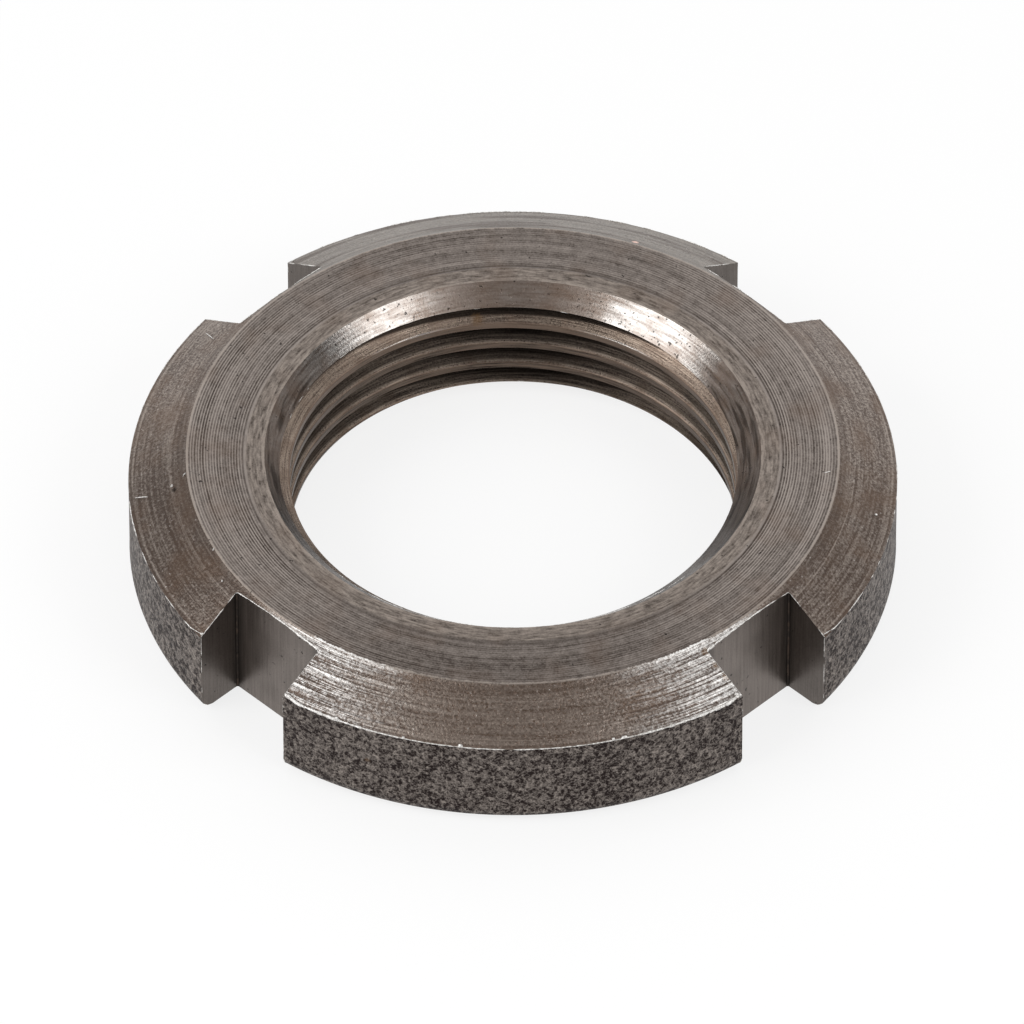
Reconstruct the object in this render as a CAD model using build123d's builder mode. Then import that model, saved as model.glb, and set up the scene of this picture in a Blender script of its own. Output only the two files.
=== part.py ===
from build123d import *
import os
from math import radians, sqrt, tan

# Slotted ring nut in turned steel, lying on its flat bearing face.
# One piece: a threaded ring with a wide bevel round its upper face and four
# open slots in its rim, which a hook spanner or a locking tab goes into.
# All sizes are in millimetres and degrees. The origin is the middle of the
# lower face, and +Z runs up along the thread's axis.

# Ring
outer_diameter = 42.0
height = 7.5

# Bevel between the upper face and the rim
bevel_width = 3.25
bevel_angle = 30.0

# Chamfer round the foot of the rim
foot_chamfer = 0.6

# Metric thread, which the bore's wall stands for at its minor diameter
thread_diameter = 26.0
thread_pitch = 1.5

# Countersinks, by how far each opens past the thread's own radius
upper_sink_margin = 0.55
lower_sink_margin = 0.3
sink_angle = 45.0

# Spanner slots, cut right through from face to face
slot_count = 4
slot_width = 6.35
slot_depth = 3.0
slot_corner_radius = 0.3
slot_overrun = 2.0

# The sharp triangle of a metric thread, and the bore that its crests leave
thread_triangle = thread_pitch * sqrt(3) / 2
bore_radius = thread_diameter / 2 - thread_triangle * 5 / 8

# Turned outline
outer_radius = outer_diameter / 2
face_radius = outer_radius - bevel_width
bevel_drop = bevel_width * tan(radians(bevel_angle))
upper_sink_radius = thread_diameter / 2 + upper_sink_margin
lower_sink_radius = thread_diameter / 2 + lower_sink_margin
upper_sink_depth = (upper_sink_radius - bore_radius) / tan(radians(sink_angle))
lower_sink_depth = (lower_sink_radius - bore_radius) / tan(radians(sink_angle))

# Slot outline, from its flat floor out past the rim
slot_floor = outer_radius - slot_depth
slot_length = slot_depth + slot_overrun

with BuildSketch() as slot_outline:
    with Locations((slot_floor, 0)):
        Rectangle(slot_length, slot_width, align=(Align.MIN, Align.CENTER))
    inner_corners = slot_outline.vertices().group_by(Axis.X)[0]
    fillet(inner_corners, radius=slot_corner_radius)

with BuildPart() as ring_nut:
    # The blank, turned about the thread's axis
    with BuildSketch(Plane.XZ):
        with BuildLine():
            Polyline(
                (bore_radius, lower_sink_depth),
                (lower_sink_radius, 0),
                (outer_radius - foot_chamfer, 0),
                (outer_radius, foot_chamfer),
                (outer_radius, height - bevel_drop),
                (face_radius, height),
                (upper_sink_radius, height),
                (bore_radius, height - upper_sink_depth),
                close=True,
            )
        make_face()
    revolve(axis=Axis.Z)

    # The slots, milled straight through and evenly round the rim
    with BuildSketch():
        with PolarLocations(0, slot_count):
            add(slot_outline.sketch)
    extrude(amount=height, mode=Mode.SUBTRACT)

ring_nut.part.label = "ring_nut"

os.makedirs("parts", exist_ok=True)
export_step(ring_nut.part, "parts/ring_nut.step")
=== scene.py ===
import math
from functools import partial

import bpy
from bpy.props import FloatProperty, FloatVectorProperty, IntProperty, PointerProperty
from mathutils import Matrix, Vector


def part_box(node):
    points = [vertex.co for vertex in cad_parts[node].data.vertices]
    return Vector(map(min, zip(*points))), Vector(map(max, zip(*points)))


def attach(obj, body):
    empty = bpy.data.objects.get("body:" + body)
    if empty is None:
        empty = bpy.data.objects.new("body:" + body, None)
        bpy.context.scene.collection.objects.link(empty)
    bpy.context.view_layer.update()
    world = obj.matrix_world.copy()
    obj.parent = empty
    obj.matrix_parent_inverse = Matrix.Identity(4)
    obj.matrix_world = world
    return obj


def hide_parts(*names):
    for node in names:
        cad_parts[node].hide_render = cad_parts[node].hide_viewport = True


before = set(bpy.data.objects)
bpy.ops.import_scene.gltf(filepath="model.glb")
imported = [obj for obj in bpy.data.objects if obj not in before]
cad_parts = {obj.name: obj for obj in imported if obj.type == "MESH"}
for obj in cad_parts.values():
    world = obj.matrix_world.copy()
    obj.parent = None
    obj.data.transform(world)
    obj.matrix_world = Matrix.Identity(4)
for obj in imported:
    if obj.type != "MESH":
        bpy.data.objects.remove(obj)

bl_info = {
    "name": "Slotted Ring Nut",
    "version": (1, 0, 0),
    "blender": (4, 5, 0),
    "location": "3D Viewport > Sidebar > Ring Nut",
    "description": "Builds a turned and milled steel ring nut with a fine thread, and a plain stage",
    "category": "Add Mesh",
}

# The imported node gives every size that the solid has. All lengths are in metres.
MM = 0.001
CAD_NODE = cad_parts["ring_nut"]
CAD_LOW, CAD_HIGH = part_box("ring_nut")
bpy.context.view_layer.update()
LEVEL_TOLERANCE = 0.01 * MM


def cad_radii(height):
    """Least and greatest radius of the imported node's points at a height."""
    radii = [
        math.hypot(vertex.co.x, vertex.co.y)
        for vertex in CAD_NODE.data.vertices
        if abs(vertex.co.z - height) < LEVEL_TOLERANCE
    ]
    return min(radii), max(radii)


def cad_levels(radius):
    """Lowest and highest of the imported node's points at a distance from the thread's axis."""
    levels = [
        vertex.co.z
        for vertex in CAD_NODE.data.vertices
        if abs(math.hypot(vertex.co.x, vertex.co.y) - radius) < LEVEL_TOLERANCE
    ]
    return min(levels), max(levels)


HEIGHT = CAD_HIGH.z
BORE_RADIUS = min(math.hypot(vertex.co.x, vertex.co.y) for vertex in CAD_NODE.data.vertices)
RIM_RADIUS = max(math.hypot(vertex.co.x, vertex.co.y) for vertex in CAD_NODE.data.vertices)
UPPER_SINK_RADIUS, FACE_RADIUS = cad_radii(HEIGHT)
LOWER_SINK_RADIUS, FOOT_RADIUS = cad_radii(0)
FOOT_TOP, RIM_TOP = cad_levels(RIM_RADIUS)
BORE_LOW, BORE_TOP = cad_levels(BORE_RADIUS)
BEVEL_FALL = (HEIGHT - RIM_TOP) / (RIM_RADIUS - FACE_RADIUS)

# Each face of the mesh holds one of these marks. They are powers of two, so that the two faces at an
# edge add up to a sum that no other pair has.
FACED = 1
BEVELLED = 2
SKIN = 4
MILLED = 8
SUNK = 16
TAPPED = 32
UNDERSIDE = 64
CREST = 128
WALL = 256

# Where two of the lobes have their middles, in degrees from +X towards +Y: one has torn ends, and one
# kept no brown film
TORN_LOBE = 315
CLEAN_LOBE = 135

# How often the torn ridges change on their way round the axis
TORN_TURNS = 3.0

# Kinds of nodes that come back often. A pair names a kind and its operation.
MATH = "ShaderNodeMath"
VECTOR_MATH = "ShaderNodeVectorMath"
MAP_RANGE = "ShaderNodeMapRange"
COMBINE = "ShaderNodeCombineXYZ"
NOISE = "ShaderNodeTexNoise"
ADD = (MATH, "ADD")
SUBTRACT = (MATH, "SUBTRACT")
MULTIPLY = (MATH, "MULTIPLY")
MULTIPLY_ADD = (MATH, "MULTIPLY_ADD")
DIVIDE = (MATH, "DIVIDE")
MAXIMUM = (MATH, "MAXIMUM")
MINIMUM = (MATH, "MINIMUM")
ABSOLUTE = (MATH, "ABSOLUTE")
COMPARE = (MATH, "COMPARE")
GREATER_THAN = (MATH, "GREATER_THAN")
LESS_THAN = (MATH, "LESS_THAN")
VECTOR_ADD = (VECTOR_MATH, "ADD")
VECTOR_SUBTRACT = (VECTOR_MATH, "SUBTRACT")
VECTOR_MULTIPLY = (VECTOR_MATH, "MULTIPLY")
SCALE = (VECTOR_MATH, "SCALE")
NORMALIZE = (VECTOR_MATH, "NORMALIZE")
DISTANCE = (VECTOR_MATH, "DISTANCE")
DOT_PRODUCT = (VECTOR_MATH, "DOT_PRODUCT")


def linear_colour(code):
    """Turn an sRGB hex code into linear red, green and blue."""
    channels = [int(code[place:place + 2], 16) / 255 for place in (1, 3, 5)]
    return [c / 12.92 if c <= 0.04045 else ((c + 0.055) / 1.055) ** 2.4 for c in channels]


def add_node(tree, kind, *values, **settings):
    """Add a node, set its properties, and link or set its inputs, by place or by name from a dict."""
    if isinstance(kind, tuple):
        kind, settings["operation"] = kind
    node = tree.nodes.new(kind)
    for name, value in settings.items():
        setattr(node, name, value)
    by_name = bool(values) and isinstance(values[0], dict)
    for key, value in values[0].items() if by_name else enumerate(values):
        if isinstance(value, bpy.types.Node):
            value = next(output for output in value.outputs if output.enabled)
        if isinstance(value, bpy.types.NodeSocket):
            tree.links.new(value, node.inputs[key])
        elif value is not None:
            node.inputs[key].default_value = value
    return node


def new_tree(name, kind, takes, gives=None):
    """Make a node group with named inputs and outputs, listed by type. Returns the group, add_node
    for it and the sockets of its inputs."""
    tree = bpy.data.node_groups.new(name, kind)
    for sockets, way in ((takes, "INPUT"), (gives or {"Geometry": ["Geometry"]}, "OUTPUT")):
        for socket, labels in sockets.items():
            for label in labels:
                tree.interface.new_socket(label, in_out=way, socket_type="NodeSocket" + socket)
    add = partial(add_node, tree)
    return tree, add, add("NodeGroupInput").outputs


def start_nodes(owner):
    """Empty the node tree of a material or a world, and return add_node for it."""
    owner.use_nodes = True
    owner.node_tree.nodes.clear()
    return partial(add_node, owner.node_tree)


def panel_keys(group):
    """The keys of a property group that the panel shows."""
    return [key for key in group.bl_rna.properties.keys() if key not in ("rna_type", "name")]


def panel_values(*groups):
    """What some property groups hold, by the names that the panel and the trees' inputs share."""
    return {
        group.bl_rna.properties[key].name: getattr(group, key)
        for group in groups
        for key in panel_keys(group)
    }


def set_inputs(modifier, values):
    """Set a Geometry Nodes modifier's inputs by name, through the identifiers of its sockets."""
    for item in modifier.node_group.interface.items_tree:
        if item.item_type == "SOCKET" and item.in_out == "INPUT" and item.name in values:
            modifier[item.identifier] = values[item.name]


def mesh_from_tree(name, tree, values, base_mesh=None):
    """Run a Geometry Nodes tree once and return its result as an object with a plain mesh."""
    mesh = base_mesh or bpy.data.meshes.new(name)
    piece = bpy.data.objects.new(name, mesh)
    bpy.context.scene.collection.objects.link(piece)
    modifier = piece.modifiers.new("Build", "NODES")
    modifier.node_group = tree
    set_inputs(modifier, values)
    evaluated = piece.evaluated_get(bpy.context.evaluated_depsgraph_get())
    made = bpy.data.meshes.new_from_object(evaluated)
    piece.modifiers.remove(modifier)
    piece.data = made
    made.name = name
    bpy.data.meshes.remove(mesh)
    if not made.polygons:
        raise RuntimeError(name + " came out empty")
    return piece


def length_property(label, told, metres):
    """A length of the panel."""
    return FloatProperty(name=label, description=told, default=metres, unit="LENGTH")


def angle_property(label, told, degrees):
    """An angle of the panel."""
    return FloatProperty(name=label, description=told, default=math.radians(degrees), subtype="ANGLE")


def colour_property(label, told, code):
    """A colour of the panel, from its sRGB hex code."""
    return FloatVectorProperty(
        name=label, description=told, default=linear_colour(code), subtype="COLOR", min=0, max=1,
    )


class RingNutTurning(bpy.types.PropertyGroup):
    segments: IntProperty(
        name="Segments", description="Divisions of each circle", default=360, min=48, max=720,
    )
    feed: length_property(
        "Facing Feed", "Distance between the turning grooves of the upper face", 0.155 * MM,
    )
    feed_depth: length_property(
        "Feed Depth", "Depth of the turning grooves of the upper face", 0.006 * MM,
    )
    ridge_pitch: length_property("Ridge Pitch", "Distance between the ridges of the bevel", 0.25 * MM)
    ridge_depth: length_property("Ridge Depth", "Depth of the ridges of the bevel", 0.006 * MM)
    torn_depth: length_property(
        "Torn Depth", "Depth of the torn ridges at the ends of one lobe", 0.035 * MM,
    )
    torn_pitch: length_property("Torn Pitch", "About the distance between the torn ridges", 0.15 * MM)
    land_width: length_property(
        "Land Width", "Width of the plain land round the upper countersink", 1.02 * MM,
    )
    land_step: length_property("Land Step", "How far the grooved face lies below the land", 0.03 * MM)
    lip_width: length_property(
        "Lip Width", "Width of the rounding between the upper face and the bevel", 0.1 * MM,
    )


class RingNutThread(bpy.types.PropertyGroup):
    pitch: length_property("Pitch", "Rise of the right-hand thread in one turn", 1.5 * MM)
    major_radius: length_property("Major Radius", "Radius at the roots of the nut's thread", 13.0 * MM)
    start_angle: angle_property(
        "Start Angle", "Where a groove's middle crosses the height of the lower face", 116.6,
    )
    corner: length_property("Corner", "Width of the worn upper corner of the thread's crest", 0.1 * MM)
    wear: length_property("Wear", "How far the thread's lines wander", 0.03 * MM)


class RingNutSlots(bpy.types.PropertyGroup):
    count: IntProperty(
        name="Slot Count", description="Number of spanner slots", default=4, min=1, max=12,
    )
    width: length_property("Slot Width", "Width of a spanner slot", 6.35 * MM)
    depth: length_property("Slot Depth", "Depth of a spanner slot, from the rim's round", 3.0 * MM)
    corner_radius: length_property(
        "Corner Radius", "Rounding between a slot's floor and its walls", 0.12 * MM,
    )


class RingNutBurrs(bpy.types.PropertyGroup):
    radius: length_property("Radius", "Half the thickness of a common burr", 0.032 * MM)
    torn_radius: length_property(
        "Torn Radius", "Half the thickness of the burrs at the torn lobe's ends", 0.12 * MM,
    )
    spacing: length_property("Spacing", "Distance between a burr's points", 0.11 * MM)
    wander: length_property("Wander", "How far a burr strays from its edge", 0.04 * MM)


class RingNutColours(bpy.types.PropertyGroup):
    faced_dark: colour_property(
        "Faced Dark", "Dirt in the turning grooves of the upper face", "#49413C",
    )
    faced_light: colour_property(
        "Faced Light", "Crests of the turning grooves of the upper face", "#A59B94",
    )
    land: colour_property("Land", "Plain land round the countersink", "#9F948B")
    bevel_dark: colour_property("Bevel Dark", "Dark grain of the bevel", "#5B4F48")
    bevel_clean: colour_property(
        "Bevel Clean", "Grey metal of the lobe that kept no brown film", "#918E89",
    )
    bevel_light: colour_property("Bevel Light", "Light grain of the bevel", "#A69B92")
    scale_dark: colour_property("Scale Dark", "Mill scale on the rim", "#292120")
    scale_light: colour_property("Scale Light", "Bare net between the scale on the rim", "#ABA199")
    milled_dark: colour_property("Milled Dark", "Dark lines of the milled slots", "#4E4742")
    milled_light: colour_property("Milled Light", "Light lines of the milled slots", "#8E857F")
    sink_dark: colour_property("Sink Dark", "Dark lines of the countersinks", "#6A615B")
    sink_light: colour_property("Sink Light", "Bright metal of the countersinks", "#B9B5B1")
    sink_film: colour_property(
        "Sink Film", "Matt brown film in the middle of the upper countersink", "#857163",
    )
    thread_dark: colour_property("Thread Dark", "Dark drag lines of the thread", "#4A423D")
    thread_light: colour_property("Thread Light", "Bright drag lines of the thread", "#AA9B8D")
    brown: colour_property("Brown Film", "Thin brown film of old oil", "#6E5A4C")
    oil: colour_property("Oil", "Dark oil and dirt in roots and pits", "#1C1714")
    rust: colour_property("Rust", "Small spots of rust", "#7D5C36")
    copper: colour_property("Copper Grain", "One small pinkish grain on the bevel", "#F2CCBE")
    torn: colour_property("Torn Metal", "Freshly torn steel of burrs and ridges", "#FCFAF7")


class RingNutStage(bpy.types.PropertyGroup):
    azimuth: angle_property("Azimuth", "Turn of the camera round the nut, from -Y towards +X", 45)
    elevation: angle_property("Elevation", "How far above the floor the camera looks from", 44.484)
    lens: FloatProperty(name="Lens", description="Focal length in millimetres", default=718.6)
    distance: length_property("Distance", "From the camera to the point that it looks at", 1.12)
    aim_height: length_property(
        "Aim Height", "Height above the floor of the picture's middle, before the rise", 0.58 * MM,
    )
    aim_rise: length_property(
        "Aim Rise", "How far the picture's middle lies up the picture from there", 1.692 * MM,
    )
    aim_left: length_property(
        "Aim Left", "How far the picture's middle lies left of the thread's axis", 0.043 * MM,
    )
    lamp_distance: length_property("Lamp Distance", "From the nut to each soft lamp", 0.5)
    left_lamp_size: length_property("Left Lamp", "Side of the square lamp on the left", 0.36)
    right_lamp_size: length_property("Right Lamp", "Side of the square lamp on the right", 0.27)
    lamp_radiance: FloatProperty(
        name="Lamp Radiance", description="Brightness of a lamp's face, where 1 is white", default=3.3,
    )
    world_level: FloatProperty(
        name="World Level", description="Brightness of the light all round", default=0.35,
    )
    patch_level: FloatProperty(
        name="Patch Level", description="Brightness of the light behind the nut", default=1.0,
    )
    floor_size: length_property("Floor Size", "Side of the square floor", 6.0)
    floor_glow: FloatProperty(
        name="Floor Glow", description="Share of the floor's white that no shadow takes away",
        default=0.8, min=0, max=1, subtype="FACTOR",
    )


def facing(outward, angle):
    """How far a place's way out points to an angle in degrees: 1 there, and 0 square to it."""
    turn = math.radians(angle)
    return add_node(outward.id_data, DOT_PRODUCT, outward, (math.cos(turn), math.sin(turn), 0))


def torn_share(outward):
    """How torn the metal is, from 0 to 1: it rises towards both ends of the torn lobe."""
    add = partial(add_node, outward.id_data)
    away = add(MATH, facing(outward, TORN_LOBE), operation="ARCCOSINE")
    begins, full, eases, gone = (math.radians(angle) for angle in (15, 35, 37, 50))
    rising = add(MAP_RANGE, away, begins, full, 0.0, 1.0)
    ending = add(MAP_RANGE, away, eases, gone, 1.0, 0.0)
    return add(MULTIPLY, rising, ending)


def turned_band_tree():
    """Geometry Nodes group: one band of the outline, wrapped round the axis, with its tool marks."""
    tree, add, given = new_tree(
        "Turned Band", "GeometryNodeTree",
        {
            "Vector": ["Start", "End"], "Int": ["Rows", "Segments"],
            "Float": [
                "Grooves", "Groove Depth", "Tear Depth", "Tears Around", "Tears Across", "Torn Depth",
                "Torn Ridges", "Bulge", "Finish",
            ],
        },
    )
    columns = add(ADD, given["Segments"], 1)
    rows = add(ADD, given["Rows"], 1)
    grid = add("GeometryNodeMeshGrid", 1.0, 1.0, columns, rows)
    flat = add("ShaderNodeSeparateXYZ", add("GeometryNodeInputPosition"))
    angle = add(MULTIPLY, flat.outputs["X"], math.tau)
    along = add(ADD, flat.outputs["Y"], 0.5)

    # The band's outline in the plane of the radius and the height, and the way out of the metal
    section = add("ShaderNodeMix", {0: along, 4: given["Start"], 5: given["End"]}, data_type="VECTOR")
    run = add(VECTOR_SUBTRACT, given["End"], given["Start"])
    outward = add(NORMALIZE, add(VECTOR_MATH, (0, 1, 0), run, operation="CROSS_PRODUCT"))

    # Torn metal: noise that is long round the axis and short across the band
    turn = add(
        "ShaderNodeVectorRotate", {"Vector": add(COMBINE, given["Tears Around"], 0, 0), "Angle": angle},
        rotation_type="Z_AXIS",
    )
    across = add(MULTIPLY, along, given["Tears Across"])
    spot = add(VECTOR_ADD, turn, add(COMBINE, 0, 0, across))
    torn = add(NOISE, {"Vector": spot, "Scale": 1.0, "Detail": 3.0})

    # Torn ridges at the ends of one lobe: sharp crests where a slow noise passes its middle
    outward_turn = add(
        "ShaderNodeVectorRotate", {"Vector": (1, 0, 0), "Angle": angle}, rotation_type="Z_AXIS",
    )
    ridge_spot = add(
        VECTOR_ADD, add(SCALE, {0: outward_turn, "Scale": TORN_TURNS}),
        add(COMBINE, 0, 0, add(MULTIPLY, along, given["Torn Ridges"])),
    )
    swell = add(NOISE, {"Vector": ridge_spot, "Scale": 1.0, "Detail": 2.0})
    from_crest = add(ABSOLUTE, add(SUBTRACT, swell, 0.5))
    crest_sharpness = 9.0
    hollow = add(MULTIPLY, from_crest, crest_sharpness, use_clamp=True)
    hollow = add(MULTIPLY, hollow, torn_share(outward_turn))
    hollow = add(MULTIPLY, hollow, given["Torn Depth"])

    # Feed grooves: a round valley between sharp crests, with a depth that wanders
    share = add(MATH, add(MULTIPLY, along, given["Grooves"]), operation="FRACT")
    from_middle = add(MULTIPLY_ADD, share, 2.0, -1.0)
    valley = add(SUBTRACT, 1.0, add(MULTIPLY, from_middle, from_middle))
    groove = add(MULTIPLY, valley, given["Groove Depth"])
    depth_wander, least_depth = 1.6, 0.2
    groove = add(MULTIPLY, groove, add(MULTIPLY_ADD, torn, depth_wander, least_depth))

    # Everything fades out at the band's two ends, where it joins its neighbours
    rest = add(SUBTRACT, 1.0, along)
    arch = add(MULTIPLY, add(MULTIPLY, along, rest), 4.0)
    fade = add(MULTIPLY, arch, 4.0, use_clamp=True)
    tear = add(MULTIPLY, add(MULTIPLY, torn, given["Tear Depth"]), fade)
    hollow = add(MULTIPLY, hollow, fade)
    bulge = add(MULTIPLY, arch, given["Bulge"])
    cut = add(ADD, groove, tear)
    cut = add(ADD, cut, hollow)
    lift = add(SUBTRACT, bulge, cut)
    moved = add(VECTOR_ADD, section, add(SCALE, {0: outward, "Scale": lift}))
    wrapped = add("ShaderNodeVectorRotate", {"Vector": moved, "Angle": angle}, rotation_type="Z_AXIS")
    deepest = add(ADD, given["Groove Depth"], given["Tear Depth"])
    measured = add(
        "GeometryNodeStoreNamedAttribute",
        {"Geometry": grid, "Name": "cut", "Value": add(DIVIDE, cut, deepest)}, data_type="FLOAT",
        domain="POINT",
    )
    placed = add("GeometryNodeSetPosition", {"Geometry": measured, "Position": wrapped})
    marked = add(
        "GeometryNodeStoreNamedAttribute",
        {"Geometry": placed, "Name": "finish", "Value": given["Finish"]}, data_type="FLOAT",
        domain="FACE",
    )
    add("NodeGroupOutput", marked)
    return tree


def closed_outline(add, corners):
    """Join corners, each a pair of numbers or sockets, into one closed curve in the flat."""
    switch = add("GeometryNodeIndexSwitch", add("GeometryNodeInputIndex"), data_type="VECTOR")
    while len(switch.index_switch_items) < len(corners):
        switch.index_switch_items.new()
    for place, corner in enumerate(corners, start=1):
        switch.id_data.links.new(add(COMBINE, *corner).outputs[0], switch.inputs[place])
    points = add("GeometryNodePoints", {"Count": len(corners), "Position": switch})
    curve = add("GeometryNodePointsToCurves", points)
    return add("GeometryNodeSetSplineCyclic", {"Geometry": curve, "Cyclic": True})


def slot_cutters(add, given):
    """Instances of the slot's cutter round the axis, with rounded corners at the slot's floor."""
    half = add(MULTIPLY, given["Slot Width"], 0.5)
    below = add(MULTIPLY, half, -1.0)
    floor = add(SUBTRACT, RIM_RADIUS, given["Slot Depth"])
    overrun = 1 * MM
    outside = RIM_RADIUS + 2 * overrun
    corner_steps = 5
    outline = closed_outline(add, [(floor, below), (outside, below), (outside, half), (floor, half)])
    place = add("ShaderNodeSeparateXYZ", add("GeometryNodeInputPosition"))
    at_floor = add(LESS_THAN, place.outputs["X"], RIM_RADIUS)
    radius = add(MULTIPLY, at_floor, given["Corner Radius"])
    rounded = add(
        "GeometryNodeFilletCurve", {"Curve": outline, "Count": corner_steps, "Radius": radius},
        mode="POLY",
    )
    axis = add(
        "GeometryNodeCurvePrimitiveLine", {"Start": (0, 0, -overrun), "End": (0, 0, HEIGHT + overrun)},
    )
    cutter = add(
        "GeometryNodeCurveToMesh", {"Curve": axis, "Profile Curve": rounded, "Fill Caps": True},
    )

    # The walls face sideways, and have another mark than the floor
    sideways = add("ShaderNodeSeparateXYZ", add("GeometryNodeInputNormal"))
    sideways = add(ABSOLUTE, sideways.outputs["Y"])
    wall_limit = 0.9
    is_wall = add(GREATER_THAN, sideways, wall_limit)
    mark = add(MULTIPLY_ADD, is_wall, WALL - MILLED, MILLED)
    cutter = add(
        "GeometryNodeStoreNamedAttribute", {"Geometry": cutter, "Name": "finish", "Value": mark},
        data_type="FLOAT", domain="FACE",
    )
    points = add("GeometryNodePoints", {"Count": given["Slot Count"]})
    step = add(DIVIDE, math.tau, given["Slot Count"])
    index = add("GeometryNodeInputIndex")
    angle = add(MULTIPLY, index, step)
    turn = add(COMBINE, 0, 0, angle)
    instances = add(
        "GeometryNodeInstanceOnPoints", {"Points": points, "Instance": cutter, "Rotation": turn},
    )
    return add("GeometryNodeRealizeInstances", instances)


def thread_cutter(add, given):
    """The tap's path: a flat-topped 60 degree groove swept along a helix that runs out at both ends."""
    pitch = given["Pitch"]
    major = given["Major Radius"]
    corner = given["Corner"]
    overlap = 0.1 * MM
    steps_a_turn = 180
    root_rounding = 0.05 * MM
    rounding_steps = 2
    wander_size = 0.9 * MM
    turns = 7
    flank = math.tan(math.radians(30))
    half_root = 1 / 16
    root = add(MULTIPLY, pitch, half_root)
    root_below = add(MULTIPLY, root, -1.0)
    inward = add(SUBTRACT, BORE_RADIUS - overlap, major)
    mouth = add(MULTIPLY_ADD, inward, -flank, root)

    # The lower side turns to 45 degrees a little before the crest, which wears the crest's upper corner
    bend = add(ADD, BORE_RADIUS, corner)
    bend = add(SUBTRACT, bend, major)
    bend_below = add(MULTIPLY_ADD, bend, flank, root_below)
    worn_run = add(SUBTRACT, inward, bend)
    mouth_below = add(ADD, bend_below, worn_run)
    outline = closed_outline(
        add,
        [(0.0, root_below), (0.0, root), (inward, mouth), (inward, mouth_below), (bend, bend_below)],
    )
    rounded = add(
        "GeometryNodeFilletCurve",
        {
            "Curve": outline, "Count": rounding_steps, "Radius": root_rounding, "Limit Radius": True,
        },
        mode="POLY",
    )
    rise = add(MULTIPLY, pitch, turns)
    helix = add(
        "GeometryNodeCurveSpiral",
        {
            "Resolution": steps_a_turn, "Rotations": turns, "Start Radius": major, "End Radius": major,
            "Height": rise, "Reverse": True,
        },
    )
    below = add(MULTIPLY, pitch, -1.0)
    helix = add(
        "GeometryNodeTransform",
        {
            "Geometry": helix, "Translation": add(COMBINE, 0, 0, below),
            "Rotation": add(COMBINE, 0, 0, given["Start Angle"]),
        },
    )
    helix = add("GeometryNodeSetCurveNormal", {"Curve": helix}, mode="Z_UP")
    swept = add(
        "GeometryNodeCurveToMesh", {"Curve": helix, "Profile Curve": rounded, "Fill Caps": True},
    )
    wander = add(NOISE, {"Scale": 1 / wander_size, "Detail": 3.0})
    centred = add(VECTOR_SUBTRACT, wander.outputs["Color"], (0.5, 0.5, 0.5))
    offset = add(SCALE, {0: centred, "Scale": given["Wear"]})
    worn = add("GeometryNodeSetPosition", {"Geometry": swept, "Offset": offset})
    return add(
        "GeometryNodeStoreNamedAttribute", {"Geometry": worn, "Name": "finish", "Value": TAPPED},
        data_type="FLOAT", domain="FACE",
    )


def turned_bands(turning):
    """The turned outline from the lower countersink outwards: each band's end, and its marks."""
    step = turning.land_step
    land_edge = UPPER_SINK_RADIUS + turning.land_width
    land_ramp = 0.12 * MM
    feeds = round((FACE_RADIUS - land_edge - land_ramp) / turning.feed)
    lip = turning.lip_width
    bevel_end = (FACE_RADIUS + lip, HEIGHT - lip * BEVEL_FALL)
    crown_drop = 0.005 * MM
    lip_crown = (FACE_RADIUS + lip / 2, HEIGHT - lip * BEVEL_FALL / 2 - crown_drop)
    slope = math.hypot(RIM_RADIUS - bevel_end[0], bevel_end[1] - RIM_TOP)
    ridges = round(slope / turning.ridge_pitch)
    ease_share = 0.45
    ease = ease_share * FOOT_TOP
    foot = (
        (FOOT_RADIUS - ease, 0),
        (FOOT_RADIUS + ease / 2, ease / 2),
        (RIM_RADIUS - ease / 2, FOOT_TOP - ease / 2),
        (RIM_RADIUS, FOOT_TOP + ease),
    )
    return [
        # The lower face, with coarser marks than the upper one
        dict(end=foot[0], rows=30, tear_depth=0.012 * MM, tears_around=9, tears_across=30,
             finish=UNDERSIDE),
        # The foot's chamfer, eased at its two corners
        dict(end=foot[1], rows=2, bulge=0.012 * MM, finish=UNDERSIDE),
        dict(end=foot[2], rows=2, finish=SKIN),
        dict(end=foot[3], rows=2, bulge=0.012 * MM, finish=SKIN),
        # The rim keeps the bar's rough skin
        dict(end=(RIM_RADIUS, RIM_TOP), rows=12, tear_depth=0.02 * MM, tears_around=70,
             tears_across=8, finish=SKIN),
        # The bevel, with its coarse torn ridges
        dict(end=bevel_end, rows=5 * ridges, grooves=ridges, groove_depth=turning.ridge_depth,
             tear_depth=0.02 * MM, tears_around=8, tears_across=20, torn_depth=turning.torn_depth,
             torn_ridges=slope / turning.torn_pitch, finish=BEVELLED),
        # The upper face: its rounded lip, its feed grooves and the plain land round the countersink
        dict(end=lip_crown, rows=2, finish=FACED),
        dict(end=(FACE_RADIUS, HEIGHT - step), rows=2, finish=FACED),
        dict(end=(land_edge + land_ramp, HEIGHT - step), rows=4 * feeds, grooves=feeds,
             groove_depth=turning.feed_depth, tears_around=5, tears_across=30, finish=FACED),
        dict(end=(land_edge, HEIGHT), rows=2, finish=FACED),
        dict(end=(UPPER_SINK_RADIUS, HEIGHT), rows=8, tear_depth=0.01 * MM, tears_around=25,
             tears_across=4, finish=FACED),
        # The upper countersink, the bore's wall at the thread's crests, and the lower countersink
        dict(end=(BORE_RADIUS, BORE_TOP), rows=12, tear_depth=0.012 * MM, tears_around=30,
             tears_across=5, finish=SUNK),
        dict(end=(BORE_RADIUS, BORE_LOW), rows=8, finish=CREST),
        dict(end=(LOWER_SINK_RADIUS, 0), rows=6, tear_depth=0.01 * MM, tears_around=30,
             tears_across=4, finish=SUNK),
    ]


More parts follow.
